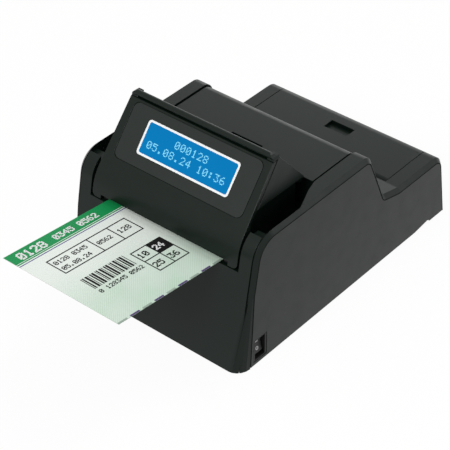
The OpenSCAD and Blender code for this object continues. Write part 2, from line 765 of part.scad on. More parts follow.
// Finger recess of the rear lid: width, length and depth
lid_pocket = [17, 8.2, 2.6];
lid_pocket_y = tray_y + 22;
module rear_lid() color(black) place() difference() {
  union() {
    lid_skin();
    rod_x(-lid_x, lid_x, lid_hinge, lid_barrel_r);
    box([-lid_pocket.x / 2 - pocket_t, lid_pocket.x / 2 + pocket_t],
      around(lid_pocket_y, [-pocket_t, lid_pocket.y + pocket_t]),
      [tray_h - lid_pocket.z - pocket_t, tray_h - 1]);
  }
  box([-lid_pocket.x, lid_pocket.x] / 2, around(lid_pocket_y, [0, lid_pocket.y]),
    [tray_h - lid_pocket.z, tray_h + 1]);
  both() rod_x(lid_x - 6.5, big, lid_hinge, lid_pin_r + run_gap);
}
module rear_lid_pins() color(steel) place() both()
  rod_x(lid_x - 6, cav_x, lid_hinge, lid_pin_r);

plate_top = part_z - 5;
module mech_frame() color(steel) place() difference() {
  union() {
    box([-plate_x - plate_t, plate_x + plate_t], [plate_y0, plate_y1], [plate_z, plate_z + plate_t]);
    both() {
      box([plate_x, plate_x + plate_t], [plate_y0, plate_y1], [plate_z, plate_top]);
      box([neck_x - 9, plate_x + plate_t], around(neck_y1, [0.5, 9.5]),
        around(catch_z - slide_gap - 1, [-plate_t, 0]));
    }
  }
  rod_x(-big, big, platen, bush_r + seat_gap);
  rod_x(-big, 0, idler, stud_r + seat_gap);
  rod_x(-big, 0, pinion, stud_r + 1);
  at_each(frame_xy) rod_z(0, plate_z + plate_t + 1, screw_r + run_gap);
}

module platen_shaft() color(steel) place()
  rod_x(-gear_x - gear_t - 0.6, plate_x + plate_t + 2.5, platen, shaft_r);
module platen_rubber() color("#1c1c1c") place() difference() {
  rod_x(-roller_x, roller_x, platen, platen_r);
  rod_x(-big, big, platen, shaft_r);
}
module platen_bushings() color(brass) place() both() difference() {
  rod_x(plate_x - 0.5, plate_x + plate_t + 0.9, platen, bush_r);
  rod_x(0, big, platen, shaft_r + run_gap);
}

function inv(a) = tan(a) * 180 / PI - a;
// Half angle of a tooth at radius r
function flank(teeth, r) = let (p = pitch_r(teeth), base = p * cos(pressure))
  (PI * gear_m / 2 - backlash) / (2 * p) * 180 / PI + inv(pressure) - inv(acos(min(1, base / r)));
module gear_2d(teeth, phase) {
  p = pitch_r(teeth);
  root = p - 1.2 * gear_m;
  steps = [root, max(root, p * cos(pressure)), p, p + 0.9 * gear_m];
  polygon([for (i = [0:teeth - 1]) let (mid = phase + i * 360 / teeth) each [
    for (k = [0:3]) polar(steps[k], mid - flank(teeth, steps[k])),
    for (k = [3:-1:0]) polar(steps[k], mid + flank(teeth, steps[k])),
  ]]);
}
// Phase that puts gear b in mesh with gear a, which lies in direction dir - 180 from it
function mesh_phase(za, phase_a, zb, dir) = dir + 180 + 180 / zb - za / zb * (phase_a - dir);
idler_phase = mesh_phase(platen_teeth, 0, idler_teeth, idler_dir);
pinion_phase = mesh_phase(idler_teeth, idler_phase, pinion_teeth, pinion_dir);

module gear_at(at, teeth, phase, bore) difference() {
  across(-gear_x - gear_t, -gear_x) translate(at) gear_2d(teeth, phase);
  if (bore > 0) rod_x(-big, 0, at, bore);
}
module platen_gear() color("#d8d2be") place() gear_at(platen, platen_teeth, 0, shaft_r);
module idler_gear() color("#d8d2be") place() gear_at(idler, idler_teeth, idler_phase, stud_r + run_gap);
module idler_stud() color(steel) place() {
  rod_x(-gear_x - gear_t - 0.4, -plate_x, idler, stud_r);
  rod_x(-gear_x - gear_t - 1.4, -gear_x - gear_t - 0.4, idler, stud_r + 1.5);
  rod_x(-gear_x + 0.4, -plate_x - plate_t, idler, stud_r + 1.5);
}
module motor_pinion() color(brass) place() {
  gear_at(pinion, pinion_teeth, pinion_phase, 0);
  rod_x(-gear_x - 0.1, -plate_x + motor_l / 2 - 1, pinion, stud_r);
}
module feed_motor() color("#2d2f31") place() difference() {
  union() {
    across(-plate_x, -plate_x + motor_l) translate(pinion) plaque(motor_s, motor_s, 3);
    across(-plate_x + motor_l, -plate_x + motor_l + 3) translate(pinion) circle(r = motor_s / 2 - 4);
  }
  rod_x(-big, -plate_x + motor_l / 2, pinion, stud_r + run_gap);
}

// Channel that the cutter blade slides in, with a low rear leg and a tall front leg
module cutter_bracket() color(steel) place() difference() {
  across(-plate_x - plate_t, plate_x + plate_t) polygon([
    [bracket_y, blade_low - 5],
    [plate_y0, blade_low - 5],
    [plate_y0, blade_top - 3],
    [blade_y + blade_slot, blade_top - 3],
    [blade_y + blade_slot, blade_low - 3],
    [blade_y - blade_slot, blade_low - 3],
    [blade_y - blade_slot, blade_top - 0.8],
    [bracket_y, blade_top - 0.8],
  ]);
  rod_y(blade_y, plate_y0 + 1, cut_gear, cut_shaft_r + 0.5);
}

rack_pitch = PI * gear_m;
tooth_up = 0.9 * gear_m;
tooth_down = -1.2 * gear_m;
function rack_half(h) = rack_pitch / 4 - backlash / 4 - h * tan(pressure);
// Teeth of a rack with its pitch line on X and a gap at the origin, pointing towards Y
function rack_teeth(count) = [for (i = [0:count - 1]) let (c = (i - (count - 1) / 2) * rack_pitch) each [
  [c - rack_half(tooth_down), tooth_down], [c - rack_half(tooth_up), tooth_up],
  [c + rack_half(tooth_up), tooth_up], [c + rack_half(tooth_down), tooth_down],
]];

cut_line = cut_gear.x - pitch_r(cut_teeth) - run_gap;
cut_teeth_line = rack_teeth(6);
module cutter_blade() color("#c9ccce") place() along(blade_y - blade_t / 2, blade_y + blade_t / 2) polygon([
  [-roller_x + 1, cut_gear.y + tongue_h],
  [cut_line - tongue_w, cut_gear.y + tongue_h],
  [cut_line - tongue_w, blade_low],
  [cut_line + tooth_down, blade_low],
  for (i = [len(cut_teeth_line) - 1:-1:0]) [cut_line + cut_teeth_line[i].y, cut_gear.y - cut_teeth_line[i].x],
  [cut_line + tooth_down, cut_gear.y + tongue_h],
  [roller_x - 1, cut_gear.y + tongue_h],
  [roller_x - 1, blade_top],
  [0, blade_top - 1.2],
  [-roller_x + 1, blade_top],
]);
module cutter_pinion() color("#d8d2be") place() {
  along(blade_y - cut_gear_t / 2, blade_y + cut_gear_t / 2) translate(cut_gear) gear_2d(cut_teeth, 180);
  rod_y(blade_y, plate_y0 + cut_motor_l / 2, cut_gear, cut_shaft_r);
}
module cutter_motor() color("#8f9497") place() difference() {
  rod_y(plate_y0, plate_y0 + cut_motor_l, cut_gear, cut_motor_r);
  rod_y(0, plate_y0 + cut_motor_l / 2 + 1, cut_gear, cut_shaft_r + run_gap);
}

// Local frame on the paper path at the front face: Y inwards along the paper, Z out of its upper side
module on_path() translate([0, exit_y, exit_h]) rotate([-exit_tilt, 0, 0]) children();
guide_in = wall / cos(front_lean) + 0.5;
guide_end = (bracket_y - exit_y) / cos(exit_tilt) - 0.2;
module exit_guide() color(dark) place() on_path() {
  box([-slot_w, slot_w] / 2, [guide_in, guide_end], [-2.4, -ticket_t - 0.3]);
  both() box([paper_w / 2 + 0.7, slot_w / 2], [guide_in + 1, guide_end], [-1, 0.35]);
  both() box([slot_w / 2 - 6, slot_w / 2], [guide_in, guide_end], [-7, -2]);
}
module paper_sensor() color("#2a2a2a") place() on_path() box([8, 18], [16, 23], [-7, -2.4]);
module ticket() color("#eef3ee") place() on_path()
  box([-paper_w, paper_w] / 2, [-ticket_out, ticket_l - ticket_out], [-ticket_t, 0]);

ramp_t = 1.2;
ramp_y = [platen_y + platen_r + 3.5, tray_y0 - 0.3];
ramp_z = path_z(ramp_y[0]) - 5;
ramp_knee = [plate_y1 + 1, motor_z + motor_s / 2 + ramp_t + 0.8];
module paper_ramp() color(steel) place() across(-plate_x + 0.3, plate_x - 0.3) polygon([
  [ramp_y[0], ramp_z],
  ramp_knee,
  [ramp_y[1], bay_z - 0.2],
  [ramp_y[1], bay_z - 0.2 - ramp_t],
  [ramp_knee.x, ramp_knee.y - ramp_t],
  [ramp_y[0], ramp_z - ramp_t],
]);

guide_travel = 12;
slot_off = 8;
guide_line = rack_teeth(12);
module paper_tray() color(dark) place() difference() {
  box([-cheek_x + 0.3, cheek_x - 0.3], [tray_y0, tray_y1], [bay_z - bay_t, bay_z]);
  both() for (s = [-1, 1])
    box([fence_x - guide_travel - 2, fence_x + 4], around(guide_y + s * slot_off, [-2, 2]), [0, big]);
  translate([0, guide_y, 0]) rod_z(0, big, 2 + run_gap);
}
// Fence on the tray with a foot through the tray's slots and a rack below it
module paper_guide() {
  fence = [fence_x, fence_x + fence_t];
  box(fence, [tray_y0 + 2, tray_y1 - 4], [bay_z + slide_gap, lid_low + 3]);
  for (s = [-1, 1]) box(fence, around(guide_y + s * slot_off, [-1.6, 1.6]), [rack_z, bay_z + 1]);
  box(fence, around(guide_y, [-slot_off - 1.6, slot_off + 1.6]), [rack_z, rack_z + rack_t]);
  translate([0, guide_y + pitch_r(guide_teeth) + run_gap, rack_z])
    linear_extrude(rack_t) mirror([0, 1, 0]) polygon([
      [guide_line[0].x - 1, -3], [guide_line[0].x - 1, tooth_down], each guide_line,
      [fence_x + 1, tooth_down], [fence_x + 1, -3],
    ]);
}
module paper_guide_right() color("#3a3d3f") place() paper_guide();
module paper_guide_left() color("#3a3d3f") place() translate([0, 2 * guide_y, 0]) rotate(180) paper_guide();
module guide_pinion() color("#d8d2be") place() translate([0, guide_y, 0]) {
  translate([0, 0, rack_z]) linear_extrude(rack_t) gear_2d(guide_teeth, 90);
  rod_z(rack_z + rack_t - 0.1, bay_z, 2);
}

jack = [6 - board_x, 9, 11];
usb = [-16, 12, 11];
serial = [16, 31, 12.5];
socket_low = board_z + board_t;
socket_fit = 0.3;
function socket_face(h) = rear_y(socket_low + h) - 0.4;
module socket_box(s, depth)
  box(around(s.x, [-s.y, s.y] / 2), around(socket_face(s.z), [-depth, 0]), around(socket_low, [0, s.z]));
module socket_holes() for (s = [jack, usb, serial])
  box(around(s.x, [-s.y / 2 - socket_fit, s.y / 2 + socket_fit]), [body_l - 20, big],
    around(socket_low, [-socket_fit, s.z + socket_fit]));
module power_jack() color("#151515") place() {
  mid = [jack.x, socket_low + jack.z / 2];
  difference() {
    socket_box(jack, 12);
    rod_y(socket_face(jack.z) - 9, big, mid, 3.2);
  }
  rod_y(socket_face(jack.z) - 9.5, socket_face(jack.z) - 2, mid, 1);
}
module usb_socket() color("#c9ccce") place() {
  difference() {
    socket_box(usb, 14);
    box(around(usb.x, [-4.2, 4.2]), [socket_face(usb.z) - 9, big], around(socket_low, [1.6, 9.2]));
  }
  box(around(usb.x, [-2.8, 2.8]), around(socket_face(usb.z), [-9.5, -1.5]), around(socket_low, [7, 8.2]));
}
module serial_socket() color("#b4b8ba") place() {
  difference() {
    socket_box(serial, 12);
    box(around(serial.x, [-9, 9]), [socket_face(serial.z) - 6, big], around(socket_low, [2, 10.4]));
    for (s = [-1, 1])
      rod_y(socket_face(serial.z) - 7, big, [serial.x + s * 12.5, socket_low + serial.z / 2], screw_r);
  }
  for (i = [0:8]) rod_y(socket_face(serial.z) - 6.5, socket_face(serial.z) - 1.2,
    [serial.x + (i - 4) * 1.4, socket_low + serial.z / 2 + (i % 2 == 0 ? 1.4 : -1.4)], 0.5);
}
// Chips on the mainboard: place across, distance from its front edge, side and height
chips = [[-16, 24, 22, 4], [14, 22, 16, 3], [board_x - 10, 12, 10, 6], [8 - board_x, 14, 8, 8]];
module mainboard() color("#1f6b3a") place() difference() {
  union() {
    box([-board_x, board_x], [board_y0, board_y1], around(board_z, [0, board_t]));
    for (c = chips)
      translate([c.x, board_y0 + c.y, board_z + board_t - 0.1])
        linear_extrude(c[3]) square(c.z, center = true);
  }
  at_each(board_xy) rod_z(0, big, screw_r + run_gap);
}

pivot_r = 1;
module switch_body() color("#141516") place() {
  switch_case();
  rod_y(switch_y + 1, switch_y + switch_l - 1, [rocker_pivot_x, switch_mid.y], pivot_r);
}
module switch_case() difference() {
  union() {
    box([cav_x - 14, side_x - panel_t], around(switch_y, [0.3, switch_l - 0.3]),
      around(switch_z, [0.3, switch_h - 0.3]));
    box([side_x - panel_t - 0.1, side_x - 0.2], around(switch_y, [0, switch_l]),
      around(switch_z, [0, switch_h]));
  }
  box([cav_x - switch_well, big], around(switch_y, [1.2, switch_l - 1.2]),
    around(switch_z, [0.7, switch_h - 0.7]));
}
module switch_rocker() color("#1d1e1f") place() difference() {
  h = switch_h / 2 - 1.7;
  translate([rocker_pivot_x, 0, switch_mid.y]) rotate([0, -rocker_swing / 2, 0])
    along(switch_y + 1.5, switch_y + switch_l - 1.5) polygon(rounded([
      [-3, -h + 2, 0], [-1, -h, 0], [5.6, -h, 0.6], [4.9, 0, 20], [5.6, h, 0.6], [-1, h, 0], [-3, h - 2, 0],
    ]));
  rod_y(switch_y - 1, switch_y + switch_l, [rocker_pivot_x, switch_mid.y], pivot_r + run_gap);
}

housing();
base_pan();
side_panel_left();
side_panel_right();
rubber_feet();
base_screws();
cover_shell();
display_fascia();
display_overlay();
lcd_frame();
lcd_glass();
lcd_module();
display_board();
cover_hinge_pins();
catch_magnets();
catch_plates();
print_head();
head_heatsink();
head_springs();
upper_blade();
rear_lid();
rear_lid_pins();
mech_frame();
frame_screws();
platen_shaft();
platen_rubber();
platen_gear();
platen_bushings();
idler_gear();
idler_stud();
feed_motor();
motor_pinion();
cutter_bracket();
cutter_blade();
cutter_motor();
cutter_pinion();
exit_guide();
paper_sensor();
paper_ramp();
paper_tray();
paper_guide_left();
paper_guide_right();
guide_pinion();
tray_posts();
mainboard();
board_standoffs();
board_screws();
power_jack();
usb_socket();
serial_socket();
switch_body();
switch_rocker();
ticket();
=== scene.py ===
"""Looks of a counter ticket printer with a display head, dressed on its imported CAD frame. Metres, +Z up."""

import json
from math import cos, pi, radians, sin

import bmesh
import bpy
from mathutils import Matrix, Vector
from mathutils.bvhtree import BVHTree


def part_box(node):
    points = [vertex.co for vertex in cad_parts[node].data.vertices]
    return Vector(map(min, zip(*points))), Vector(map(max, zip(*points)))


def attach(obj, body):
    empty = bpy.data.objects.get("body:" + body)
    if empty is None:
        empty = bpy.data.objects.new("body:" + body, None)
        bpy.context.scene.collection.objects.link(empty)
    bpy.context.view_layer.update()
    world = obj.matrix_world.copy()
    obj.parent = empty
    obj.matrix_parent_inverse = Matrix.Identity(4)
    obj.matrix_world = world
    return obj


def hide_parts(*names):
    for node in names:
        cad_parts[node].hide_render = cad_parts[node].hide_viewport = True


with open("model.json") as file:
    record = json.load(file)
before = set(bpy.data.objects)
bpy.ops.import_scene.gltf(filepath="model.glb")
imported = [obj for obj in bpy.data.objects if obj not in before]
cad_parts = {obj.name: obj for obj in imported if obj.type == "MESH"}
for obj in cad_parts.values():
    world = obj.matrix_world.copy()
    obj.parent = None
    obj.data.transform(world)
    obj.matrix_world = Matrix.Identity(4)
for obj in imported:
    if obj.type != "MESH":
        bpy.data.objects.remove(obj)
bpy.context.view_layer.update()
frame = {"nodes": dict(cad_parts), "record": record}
nodes = frame["nodes"]
slot_of = {part["node"]: part["material_slot"] for part in frame["record"]["subparts"]}
body_of = {node: body for body, members in frame["record"]["behaviour"]["bodies"].items() for node in members}
MM = 0.001


# Finishes

def linear(colour):
    """Linear RGBA of an sRGB hex colour."""
    parts = [int(colour[i:i + 2], 16) / 255 for i in (1, 3, 5)]
    return [c / 12.92 if c <= 0.04045 else ((c + 0.055) / 1.055) ** 2.4 for c in parts] + [1.0]


def add(tree, kind, inputs=None, **settings):
    """Adds a shader node. inputs gives each socket, by name or number, a value or the output linked to it."""
    made = tree.nodes.new("ShaderNode" + kind)
    for name, value in settings.items():
        setattr(made, name, value)
    for name, value in (inputs or {}).items():
        if isinstance(value, bpy.types.NodeSocket):
            tree.links.new(value, made.inputs[name])
        else:
            made.inputs[name].default_value = value
    return made


def per_mm(size):
    """Texture scale whose features are about size millimetres."""
    return 1 / (size * MM)


def blank(name):
    """A new material with an empty node tree."""
    material = bpy.data.materials.new(name)
    material.use_nodes = True
    material.node_tree.nodes.clear()
    return material, material.node_tree


# Noise lies mostly between these two values
NOISE_LOW, NOISE_HIGH = 0.3, 0.7


def finish(name, colours, drift, rough, rub, grain, depth, **sockets):
    """A moulded, rolled, turned or printed finish. Colour drifts between two tones over drift mm, roughness
    between two values over rub mm, and the surface has a relief of grain mm that is depth mm deep."""
    material, tree = blank(name)
    low, high = (linear(shade) for shade in colours)
    place = add(tree, "TexCoord").outputs["Object"]
    tone = add(tree, "TexNoise", {"Vector": place, "Scale": per_mm(drift), "Detail": 3.0})
    colour = add(tree, "Mix", {"Factor": tone.outputs["Fac"], 6: low, 7: high}, data_type="RGBA")
    wear = add(tree, "TexNoise", {"Vector": place, "Scale": per_mm(rub), "Detail": 4.0})
    gloss = add(tree, "MapRange", {
        "Value": wear.outputs["Fac"], 1: NOISE_LOW, 2: NOISE_HIGH, 3: rough[0], 4: rough[1],
    })
    relief = add(tree, "TexNoise", {"Vector": place, "Scale": per_mm(grain), "Detail": 2.0})
    bump = add(tree, "Bump", {"Height": relief.outputs["Fac"], "Distance": depth * MM, "Strength": 1.0})
    shader = add(tree, "BsdfPrincipled", {
        "Base Color": colour.outputs[2], "Roughness": gloss.outputs[0], "Normal": bump.outputs[0], **sockets,
    })
    add(tree, "OutputMaterial", {"Surface": shader.outputs[0]})
    return material


# The tint's lines are 0.4 mm apart on such a card, and are drawn 1.3 mm apart along its edges to show
TINT_LINES = 1.3
# A diagonal wave texture of scale 1 repeats after this length
WAVE = pi / 5
# The tint starts this share of the way from the middle to the left edge
TINT_START = 0.5
# Share of green at the right edge, lowest and highest, in soft clouds of this size in mm
CLOUD_TINT, CLOUDS = (0.45, 0.7), 22
# Times that share between the lines and on them
LINE_TINT = (0.8, 1.5)
# Width and height of the card's fibres in mm, which are finer in reality and are drawn coarser to show
FIBRE_W, FIBRE_H = 0.5, 0.002
CARD_ROUGH = (0.42, 0.55)


def ticket_card():
    """Coated card, smooth and half matt: white at the left, turning pale green to the right in fine lines."""
    material, tree = blank("coated_ticket_card")
    low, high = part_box("ticket")
    place = add(tree, "TexCoord").outputs["Object"]
    part = add(tree, "SeparateXYZ", {0: place})
    side = add(tree, "MapRange", {
        "Value": part.outputs["X"], 1: low[0] * TINT_START, 2: high[0],
    }, interpolation_type="SMOOTHSTEP")
    cloud = add(tree, "TexNoise", {"Vector": place, "Scale": per_mm(CLOUDS), "Detail": 1.0})
    soft = add(tree, "MapRange", {
        "Value": cloud.outputs["Fac"], 1: NOISE_LOW, 2: NOISE_HIGH, 3: CLOUD_TINT[0], 4: CLOUD_TINT[1],
    })
    tint = add(tree, "Math", {0: side.outputs[0], 1: soft.outputs[0]}, operation="MULTIPLY")
    lines = add(tree, "TexWave", {
        "Vector": place, "Scale": per_mm(TINT_LINES) * WAVE, "Distortion": 2.0, "Detail": 1.0,
        "Detail Scale": 0.2,
    }, bands_direction="DIAGONAL")
    strength = add(tree, "MapRange", {"Value": lines.outputs["Fac"], 3: LINE_TINT[0], 4: LINE_TINT[1]})
    share = add(tree, "Math", {
        0: tint.outputs[0], 1: strength.outputs[0],
    }, operation="MULTIPLY", use_clamp=True)
    colour = add(tree, "Mix", {
        "Factor": share.outputs[0], 6: linear("#e2e8e2"), 7: linear("#a9c9af"),
    }, data_type="RGBA")
    fibre = add(tree, "TexNoise", {"Vector": place, "Scale": per_mm(FIBRE_W), "Detail": 2.0})
    bump = add(tree, "Bump", {"Height": fibre.outputs["Fac"], "Distance": FIBRE_H * MM})
    rub = add(tree, "MapRange", {"Value": cloud.outputs["Fac"], 3: CARD_ROUGH[0], 4: CARD_ROUGH[1]})
    shader = add(tree, "BsdfPrincipled", {
        "Base Color": colour.outputs[2], "Roughness": rub.outputs[0], "Normal": bump.outputs[0], "IOR": 1.5,
    })
    add(tree, "OutputMaterial", {"Surface": shader.outputs[0]})
    return material


# The real grain of these surfaces is 0.02 to 0.1 mm wide, and it is drawn 0.3 to 2 mm wide to show.
# ABS and nylon have an IOR of about 1.53 and polyester film one of 1.6. The satin and black pieces of the
# outside have a lower one, matched to how little of the white room they mirror.
FINISHES = {
    # Spark-eroded satin ABS, charcoal: soft even sheen, long pale reflections along its edges
    "black_abs": finish("charcoal_satin_abs", ("#08130d", "#0c1712"), drift=40, rough=(0.30, 0.38), rub=9,
                        grain=0.5, depth=0.004, IOR=1.29),
    # Coarser matt ABS of the parts below and inside: near black, dull
    "base_abs": finish("black_matt_abs", ("#101112", "#151617"), drift=30, rough=(0.5, 0.6), rub=8,
                       grain=0.6, depth=0.012, IOR=1.53),
    # Polyester overlay with a fine velvet texture that dulls its reflections
    "overlay_film": finish("velvet_polyester_film", ("#0b140f", "#0f1813"), drift=30, rough=(0.40, 0.46),
                           rub=6, grain=0.4, depth=0.004, IOR=1.38),
    # Glossy white moulded bezel: bright and even, with small clear highlights
    "white_plastic": finish("white_gloss_abs", ("#f2f4f4", "#f8f9f9"), drift=20, rough=(0.25, 0.32), rub=6,
                            grain=0.5, depth=0.003, IOR=1.53),
    # Blue backlit display window: an even deep blue behind a hard-coated matt polarizer
    "display_glass": finish("blue_backlit_display", ("#003350", "#003a58"), drift=25, rough=(0.30, 0.34),
                            rub=10, grain=2.0, depth=0.001, IOR=1.5,
                            **{"Specular IOR Level": 0.05, "Emission Color": linear("#0074b4"),
                               "Emission Strength": 0.9}),
    # Zinc-plated pressed steel: bluish grey with cloudy spangle
    "zinc_steel": finish("zinc_plated_steel", ("#a9adb0", "#c3c6c8"), drift=3, rough=(0.28, 0.42), rub=2,
                         grain=0.6, depth=0.004, Metallic=1.0),
    # Extruded aluminium, slightly hazy
    "aluminium": finish("extruded_aluminium", ("#b9bbbd", "#cbcdce"), drift=5, rough=(0.3, 0.4), rub=2,
                        grain=0.4, depth=0.006, Metallic=1.0),
    # Glazed alumina of the heater bar: warm white, smooth
    "ceramic": finish("glazed_alumina", ("#ddd7c6", "#e6e1d3"), drift=6, rough=(0.18, 0.26), rub=4,
                      grain=0.8, depth=0.002, IOR=1.65),
    # Turned brass with light tarnish
    "brass": finish("turned_brass", ("#b08a3c", "#cfae60"), drift=3, rough=(0.25, 0.4), rub=2,
                    grain=0.5, depth=0.003, Metallic=1.0),
    # Natural acetal: waxy off-white gears
    "gear_acetal": finish("natural_acetal", ("#d9d1b9", "#e4ddc9"), drift=5, rough=(0.36, 0.44), rub=3,
                          grain=0.6, depth=0.003, IOR=1.48),
    # Matt ABS of the paper fences: dark grey, dull
    "guide_plastic": finish("grey_matt_abs", ("#333638", "#3b3e40"), drift=12, rough=(0.45, 0.55), rub=5,
                            grain=0.6, depth=0.010, IOR=1.53),
    # Solder mask over glass-fibre board: clear green, glossy
    "circuit_board": finish("green_solder_mask", ("#15572f", "#1b6538"), drift=7, rough=(0.25, 0.35), rub=3,
                            grain=0.7, depth=0.004, IOR=1.55),
    # Ground rubber, dull with a fine tooth
    "rubber": finish("ground_rubber", ("#131313", "#1a1a1a"), drift=8, rough=(0.75, 0.85), rub=3,
                     grain=0.4, depth=0.015, IOR=1.52),
    "ticket_card": ticket_card(),
}
# Moulded black nylon of the power switch: deep, dull, no tint
# Its near-black colour is partly the nylon's own and partly painted shade of the dark well round the rocker
switch_black_and_well_shade = finish("black_nylon_with_painted_well_shade", ("#050505", "#080808"), drift=4, rough=(0.5, 0.6), rub=3,
                      grain=0.4, depth=0.004, IOR=1.4)
# Moulded epoxy of the chips: black, dull, faintly speckled
epoxy = finish("moulded_black_epoxy", ("#141415", "#1d1d1e"), drift=2, rough=(0.45, 0.6), rub=2,
               grain=0.3, depth=0.004, IOR=1.55)
# Gold flash on contact pins: warm, bright, slightly uneven
gold = finish("gold_flashed_contact", ("#d9b35c", "#e8c877"), drift=2, rough=(0.18, 0.3), rub=1,
              grain=0.3, depth=0.001, Metallic=1.0)
# Lit liquid crystal dots: pale cyan with soft unevenness
lit_dot = finish("lit_crystal_dots", ("#3f7f92", "#4a8a9c"), drift=6, rough=(0.35, 0.42), rub=4,
                 grain=0.5, depth=0.001, IOR=1.5,
                 **{"Specular IOR Level": 0.15, "Emission Color": linear("#86d8f0"),
                    "Emission Strength": 0.85})
# Pad-printed white ink of the switch marks and the ticket's figures on dark ground: flat, a little uneven
white_ink = finish("pad_printed_white", ("#e4e6e6", "#efefef"), drift=2, rough=(0.5, 0.6), rub=2,
                   grain=0.3, depth=0.002, IOR=1.5)
# Ink soaks into the card, so it shines less than the coating around it
DULL = {"IOR": 1.5, "Specular IOR Level": 0.15}
# Offset inks of the card: thin even colour that dulls the coating a little
OFFSET = {"rough": (0.42, 0.5), "rub": 5, "grain": 0.5, "depth": 0.002, **DULL}
green_ink = finish("offset_green_ink", ("#0f8647", "#148f50"), drift=14, **OFFSET)
blue_ink = finish("offset_blue_ink", ("#2b2a72", "#35347e"), drift=8, **OFFSET)
purple_ink = finish("offset_purple_ink", ("#4d3c66", "#5b4a76"), drift=5, **OFFSET)
grey_ink = finish("offset_grey_ink", ("#8fa093", "#9fb0a2"), drift=5, **OFFSET)
# Thermal print: soft black that is slightly browned where it is thin
thermal_black = finish("thermal_black", ("#050505", "#100f0e"), drift=3, rough=(0.5, 0.58), rub=3,
                       grain=0.3, depth=0.002, **DULL)


# CAD nodes with softened edges

def stand(name, mesh, material, body):
    """A new piece that rides on a body."""
    mesh.materials.append(material)
    piece = bpy.data.objects.new(name, mesh)
    bpy.context.scene.collection.objects.link(piece)
    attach(piece, body)
    return piece


# Points this close in mm are one, and faces within this many degrees are one flat
WELD, FLAT_ANGLE = 0.002, 0.5
# Edges above this many degrees are rounded, in so many steps, and the others are shaded smooth
SOFT_ANGLE, BEVEL_STEPS = 28, 2
# Radii of the rounded edges in mm. The housing's large radii are in its CAD node already
SOFT_EDGE = 0.2
HOUSING_EDGE = 0.1
NO_BEVEL = ("ticket", "lcd_glass", "display_overlay")
EDGES = {"housing": HOUSING_EDGE, **{node: 0 for node in NO_BEVEL}}
# The switch body's darker finish is partly painted shade of the well round the rocker
OWN_FINISH = {"switch_body": switch_black_and_well_shade}


def dress(node):
    """Stands a copy of a CAD node in its place, with rounded edges and smooth curves."""
    mesh = nodes[node].data.copy()
    work = bmesh.new()
    work.from_mesh(mesh)
    bmesh.ops.remove_doubles(work, verts=work.verts, dist=WELD * MM)
    bmesh.ops.dissolve_limit(work, angle_limit=radians(FLAT_ANGLE), verts=work.verts, edges=work.edges)
    edge = EDGES.get(node, SOFT_EDGE)
    if edge:
        sharp = [e for e in work.edges if e.is_convex and e.calc_face_angle() > radians(SOFT_ANGLE)]
        bmesh.ops.bevel(work, geom=sharp, offset=edge * MM, offset_type="OFFSET", segments=BEVEL_STEPS,
                        profile=0.5, affect="EDGES", clamp_overlap=False)
    work.to_mesh(mesh)
    work.free()
    mesh.shade_smooth()
    mesh.set_sharp_from_angle(angle=radians(SOFT_ANGLE))
    mesh.materials.clear()
    slot = slot_of[node]
    piece = stand(node + "_dressed", mesh, OWN_FINISH.get(node, FINISHES[slot]), body_of[node])
    even = piece.modifiers.new("even_faces", "WEIGHTED_NORMAL")
    even.keep_sharp = True
    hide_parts(node)
    return piece


dressed = {node: dress(node) for node in nodes}


def paint(node, material, inside):
    """Gives a node's faces another material where inside(middle of the face) holds."""
    mesh = dressed[node].data
    mesh.materials.append(material)
    for face in mesh.polygons:
        if inside(face.center):
            face.material_index = len(mesh.materials) - 1


# Chips stand on the mainboard's upper side
BOARD_T = 1.6
CHIP_START = 0.2
chips_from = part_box("mainboard")[0][2] + (BOARD_T + CHIP_START) * MM
paint("mainboard", epoxy, lambda p: p.z > chips_from)

# Inserts and pins of the sockets at the rear, in mm: range of depth behind the socket's rear face, reach to
# either side of its middle and range of height about its middle
INSERTS = (
    ("serial_socket", FINISHES["base_abs"], (1, 7), 8.9, (-4, 4)),
    ("serial_socket", gold, (1, 5.8), 6.2, (-2, 2)),
    ("usb_socket", FINISHES["base_abs"], (1.2, 9.4), 3, (1.2, 3)),
    ("power_jack", FINISHES["zinc_steel"], (1, 9), 1.1, (-1.1, 1.1)),
)


def paint_socket(node, material, depth, across, up):
    """Paints the faces of a socket that lie within a row of INSERTS."""
    low, high = (Vector(corner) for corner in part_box(node))
    middle = (low + high) / 2
    paint(node, material, lambda p: (depth[0] * MM < high.y - p.y < depth[1] * MM
                                     and abs(p.x - middle.x) < across * MM
                                     and up[0] * MM < p.z - middle.z < up[1] * MM))


for insert in INSERTS:
    paint_socket(*insert)


# Print on flats

# A face looks toward a direction where the cosine between them is above this
FACING = 0.7
# Corners this close in mm lie on one level
LEVEL = 0.01


def in_mm(origin, across, up, out):
    """Frame in millimetres at a point, with these three axes."""
    return Matrix.Translation(origin) @ Matrix((across, up, out)).transposed().to_4x4() @ Matrix.Scale(MM, 4)


def flat_of(node, toward):
    """Frame in the middle of a node's widest flat that looks toward: X to the right, Z out of the flat."""
    mesh = nodes[node].data
    flats = [face for face in mesh.polygons if face.normal.dot(toward) > FACING]
    widest = max(flats, key=lambda face: face.area)
    out = widest.normal.copy()
    across = Vector((1, 0, 0))
    up = out.cross(across)
    level = widest.center.dot(out)
    corners = [v.co for v in mesh.vertices if abs(v.co.dot(out) - level) < LEVEL * MM]
    spans = [[corner.dot(axis) for corner in corners] for axis in (across, up)]
    middle = [(min(span) + max(span)) / 2 for span in spans]
    return in_mm(across * middle[0] + up * middle[1] + out * level, across, up, out)


PRINT_T = 0.02
# Corners of a plate count across, then up, then out of the flat
PLATE_CORNERS = [(i, j, k) for k in (0, 1) for j in (0, 1) for i in (0, 1)]
PLATE_FACES = ((0, 2, 3, 1), (4, 5, 7, 6), (0, 1, 5, 4), (1, 3, 7, 5), (3, 2, 6, 7), (2, 0, 4, 6))


